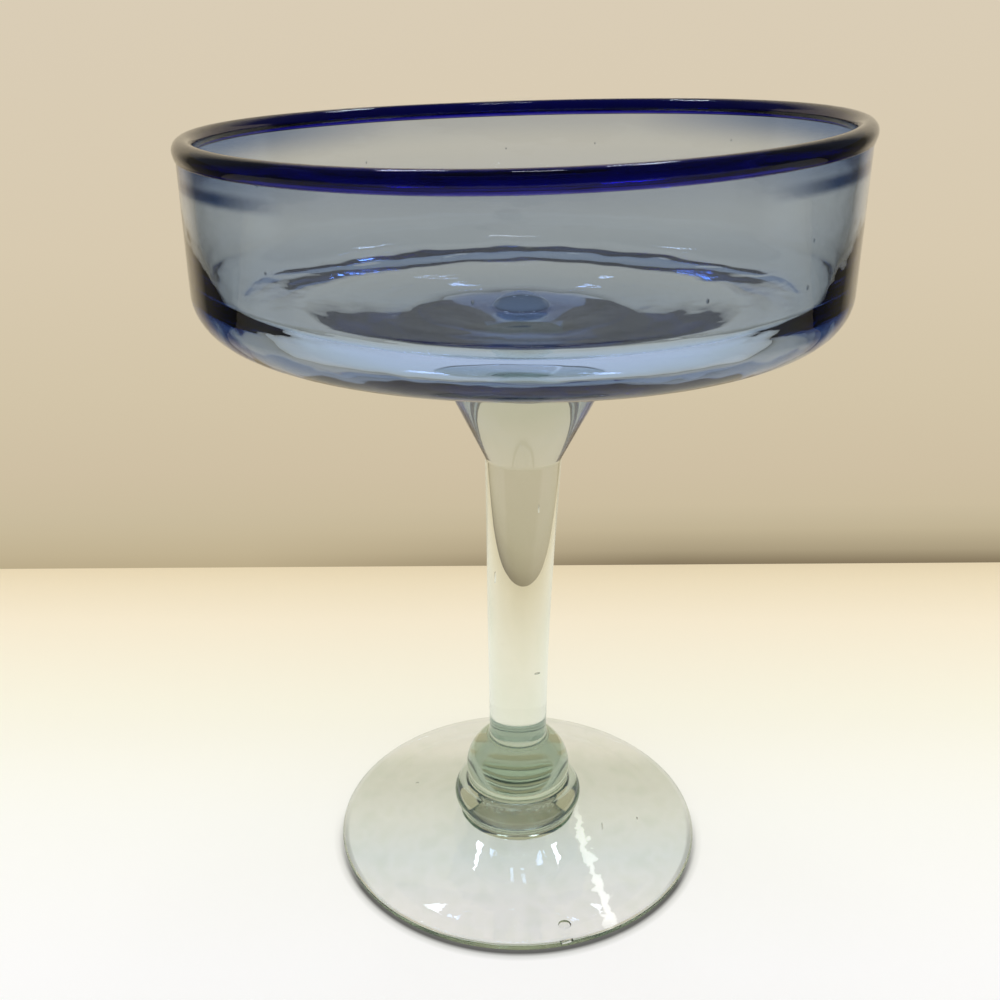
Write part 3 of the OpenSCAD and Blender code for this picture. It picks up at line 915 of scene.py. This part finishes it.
def pale_table():
    """A white table top under soft light from above, creamier towards the wall.

    Its shown colour is laid over the matt one that takes the glass's shadow. Under the foot a
    painted soft shadow of the bowl greys it, most behind the stem, and a painted contact shadow
    darkens it round the foot's near edge. In the glass's mirrored view its near part and its sides
    are dark, a painted reflection of a dim room. One bright, jagged streak of painted light glows on
    it, where the glass would throw light.
    """
    foot_shade, painted_streak_power, lit_share = (45.4 * MM, 44.2 * MM), 0.5, 0.7
    material, tree = node_tree("pale_table")
    where, x, y, z = whereabouts(tree)
    radius = off_axis(tree, x, y)
    top = along(tree, y, 150 * MM, -250 * MM, (
        (0.0, "#F1E1BF"), (0.04, "#F7E9CA"), (0.11, "#FEF3DA"), (0.24, "#FFFCEA"), (0.37, "#FFFFF8"),
        (0.5, "#FFFFFF"), (1.0, "#F4F4F2")))
    # Painted shadow: under the foot the table greys as in the bowl's soft shadow, most behind the stem
    under = add(tree, "ShaderNodeMapRange", {"Value": radius}, From_Min=foot_shade[0],
        From_Max=foot_shade[1])
    shade = along(tree, y, -32 * MM, 38 * MM, (
        (0.0, "#FFFFFF"), (0.24, "#EFF7F9"), (0.46, "#F0F3ED"), (0.63, "#E7E9E0"), (0.77, "#E7E9E0"),
        (0.87, "#FBFAF5"), (1.0, "#FFFFFF")))
    shaded = add(tree, "ShaderNodeMix", {"Factor": under, "A": top, "B": shade}, **TINTED)
    # Painted contact shadow: a dark ring on the table round the foot's rim, on its near side only
    ring = along(tree, radius, 41 * MM, 48 * MM, (
        (0.0, "#FFFFFF"), (0.38, "#FFFFFF"), (0.48, "#7A7A78"), (0.66, "#666664"), (0.8, "#E0E0DE"),
        (1.0, "#FFFFFF")))
    front = add(tree, "ShaderNodeMapRange", {"Value": y}, From_Min=5 * MM, From_Max=-25 * MM)
    top_with_painted_shadows = add(tree, "ShaderNodeMix", {"Factor": front, "A": shaded, "B": ring}, **TINTED)
    # Painted reflection of a dim room: in what the glass mirrors, the table's near part and its sides
    # are dark
    near = along(tree, y, -100 * MM, -250 * MM, ((0.0, "#FFFFFF"), (0.2, "#60636E"), (1.0, "#444854")))
    aside = along(tree, x, -500 * MM, 500 * MM, (
        (0.0, "#484E50"), (0.2, "#5C6264"), (0.28, "#FFFFFF"), (0.5, "#FFFFFF"), (0.72, "#FFFFFF"),
        (0.8, "#5C6264"), (1.0, "#484E50")))
    dim = add(tree, "ShaderNodeMix", {"Factor": 1.0, "A": aside, "B": near}, **TINTED)
    shown = add(tree, "ShaderNodeMix",
        {"Factor": seen_mirrored(tree), "A": top_with_painted_shadows, "B": dim}, **TINTED)
    # Painted light: on the streak the table glows half again as bright
    power = add(tree, "ShaderNodeMath", {0: painted_light_streak(tree, where, x, y), 1: painted_streak_power, 2: 1.0},
        operation="MULTIPLY_ADD")
    share = add(tree, "ShaderNodeMath", {0: seen_directly(tree), 1: lit_share}, operation="MULTIPLY")
    show_one_sided(tree, top_with_painted_shadows, shown, power, share)
    return material


def painted_wall():
    """A beige painted wall with painted shade, darker towards the table and dark at its sides where
    mirrored.

    The painted shade deepens in a band just above the table, most to the right. The dark sides are a
    painted reflection of a dim room.
    """
    material, tree = node_tree("painted_wall")
    x, y, z = whereabouts(tree)[1:]
    # Painted shade: the wall is darker towards the table
    rise = along(tree, z, 0, 200 * MM, (
        (0.0, "#C6B694"), (0.1, "#CABC9E"), (0.2, "#CFC0A4"), (0.35, "#D3C5A9"), (0.6, "#D8CAB0"),
        (1.0, "#DACDB6")))
    sides = along(tree, x, -450 * MM, 450 * MM, (
        (0.0, "#4C5254"), (0.2, "#6E7070"), (0.29, "#FAF8F4"), (0.5, "#FFFFFF"), (0.71, "#FFFFFF"),
        (0.8, "#707270"), (1.0, "#4C5254")))
    paint_with_painted_shade = add(tree, "ShaderNodeMix",
        {"Factor": seen_mirrored(tree), "A": rise, "B": sides}, **TINTED)
    # Painted shadow: a darker band just above the table, where the wall meets it, strongest to the right
    foot = along(tree, z, 0, 25 * MM, (
        (0.0, "#ACA8A6"), (0.06, "#B8B5B2"), (0.24, "#DBDAD9"), (0.6, "#F5F5F4"), (1.0, "#FFFFFF")))
    painted_shadow_rightward = add(tree, "ShaderNodeMapRange", {"Value": x}, From_Min=-100 * MM, From_Max=60 * MM,
        To_Min=0.2)
    shown = add(tree, "ShaderNodeMix", {"Factor": painted_shadow_rightward, "A": paint_with_painted_shade, "B": foot}, **TINTED)
    show_one_sided(tree, shown, shown, 1.0, seen_directly(tree))
    return material


def soft_room():
    """The room: even soft light, pale in view, and where mirrored dark but for its far side."""
    world = bpy.data.worlds.new("soft_room")
    world.use_nodes = True
    tree = world.node_tree
    tree.nodes.clear()
    x, y, z = whereabouts(tree)[1:]
    far = along(tree, y, -1, 1, (
        (0.0, "#3A3E4C"), (0.35, "#404454"), (0.55, "#444858"), (0.8, "#565A68"), (0.92, "#D6CCB8"),
        (1.0, "#E0D6C2")))
    room = add(tree, "ShaderNodeMix",
        {"Factor": seen_mirrored(tree), "A": linear("#DACDB6"), "B": far}, data_type="RGBA")
    seen = add(tree, "ShaderNodeBackground", {"Color": room}, Strength=1.0)
    soft = add(tree, "ShaderNodeBackground", {"Color": linear("#FFFDF8")}, Strength=1.0)
    light = add(tree, "ShaderNodeMixShader", {0: seen_directly(tree), 1: soft, 2: seen})
    add(tree, "ShaderNodeOutputWorld", {"Surface": light})
    return world


def sheet(name, corners, material):
    """A flat stage sheet through four corners, in metres."""
    mesh = bpy.data.meshes.new(name)
    mesh.from_pydata(corners, [], [(0, 1, 2, 3)])
    mesh.update()
    piece = bpy.data.objects.new(name, mesh)
    bpy.context.scene.collection.objects.link(piece)
    mesh.materials.append(material)
    return piece


def area_light(name, place, aim, size, watts, colour):
    """A rectangular lamp at place, aimed at aim, with its size in metres."""
    lamp = bpy.data.lights.new(name, "AREA")
    lamp.shape = "RECTANGLE"
    lamp.size, lamp.size_y = size
    lamp.energy = watts
    lamp.color = linear(colour)[:3]
    piece = bpy.data.objects.new(name, lamp)
    piece.location = place
    piece.rotation_mode = "QUATERNION"
    piece.rotation_quaternion = (Vector(place) - Vector(aim)).to_track_quat("Z", "Y")
    bpy.context.scene.collection.objects.link(piece)
    return piece


# Lamps: name, place, aim, width and depth, all in metres, then watts and colour
LAMPS = (
    ("window", (-0.18, 0.42, 0.8), (0, 0, 0.05), (0.12, 0.035), 0.35, "#E4EEFF"),
    ("window", (0.17, 0.42, 0.8), (0, 0, 0.05), (0.12, 0.035), 0.35, "#E4EEFF"),
    ("skylight", (0.02, 0.16, 1.0), (0, 0, 0.15), (0.12, 0.08), 0.25, "#F0F4FF"))

# Table and wall: half their width and the wall's height in metres, the wall's distance and slope
REACH, WALL_TOP, WALL_Y, WALL_SLOPE = 1.2, 0.24, 149 * MM, 0.0095
TABLE_Z = -0.02 * MM

# Camera: place, degrees below level and of roll, sensor width in mm, focal length in such widths
EYE, LOOK_DOWN, ROLL = (-4.39 * MM, -236.3 * MM, 193.5 * MM), 23.3, -0.13
SENSOR, FOCAL_WIDTHS = 36, 1.115

# Turns that light takes inside the glass before it is given up
BOUNCES = 32


class BLOWN_OT_stage(bpy.types.Operator):
    """Set the table, the wall, the soft light and the camera"""

    bl_idname = "blown.stage"
    bl_label = "Stage"

    def execute(self, context):
        scene = context.scene
        left, right = WALL_Y - REACH * WALL_SLOPE, WALL_Y + REACH * WALL_SLOPE
        sheet("table", [(-REACH, -REACH, TABLE_Z), (REACH, -REACH, TABLE_Z), (REACH, right, TABLE_Z),
            (-REACH, left, TABLE_Z)], pale_table())
        sheet("wall", [(-REACH, left, TABLE_Z), (REACH, right, TABLE_Z), (REACH, right, WALL_TOP),
            (-REACH, left, WALL_TOP)], painted_wall())
        scene.world = soft_room()
        for lamp in LAMPS:
            area_light(*lamp)
        camera = bpy.data.cameras.new("camera")
        camera.sensor_width = SENSOR
        camera.lens = SENSOR * FOCAL_WIDTHS
        camera.clip_start = 10 * MM
        eye = bpy.data.objects.new("camera", camera)
        eye.rotation_mode = "QUATERNION"
        tilt = Matrix.Rotation(math.radians(90 - LOOK_DOWN), 4, "X") @ Matrix.Rotation(
            math.radians(ROLL), 4, "Z")
        eye.matrix_world = Matrix.Translation(EYE) @ tilt
        scene.collection.objects.link(eye)
        scene.camera = eye
        scene.view_settings.view_transform = "Standard"
        scene.cycles.max_bounces = BOUNCES
        scene.cycles.transmission_bounces = BOUNCES
        scene.cycles.glossy_bounces = BOUNCES
        return {"FINISHED"}


class BLOWN_PT_panel(bpy.types.Panel):
    """Lists the pieces of the glass"""

    bl_label = "Blown Glass"
    bl_idname = "BLOWN_PT_panel"
    bl_space_type = "VIEW_3D"
    bl_region_type = "UI"
    bl_category = "Glass"

    def draw(self, context):
        for build in OPERATORS:
            self.layout.operator(build.bl_idname)


OPERATORS = (BLOWN_OT_stage, BLOWN_OT_bowl, BLOWN_OT_lip, BLOWN_OT_stem)
CLASSES = (BlownGlassSizes, BlownGlassLook) + OPERATORS + (BLOWN_PT_panel,)


def register():
    for each in CLASSES:
        bpy.utils.register_class(each)
    bpy.types.Scene.blown_glass = PointerProperty(type=BlownGlassSizes)
    bpy.types.Scene.blown_look = PointerProperty(type=BlownGlassLook)


def unregister():
    del bpy.types.Scene.blown_glass
    del bpy.types.Scene.blown_look
    for each in reversed(CLASSES):
        bpy.utils.unregister_class(each)


def main():
    register()
    bpy.ops.blown.stage()
    bpy.ops.blown.bowl()
    bpy.ops.blown.lip()
    bpy.ops.blown.stem()


if __name__ == "__main__":
    main()
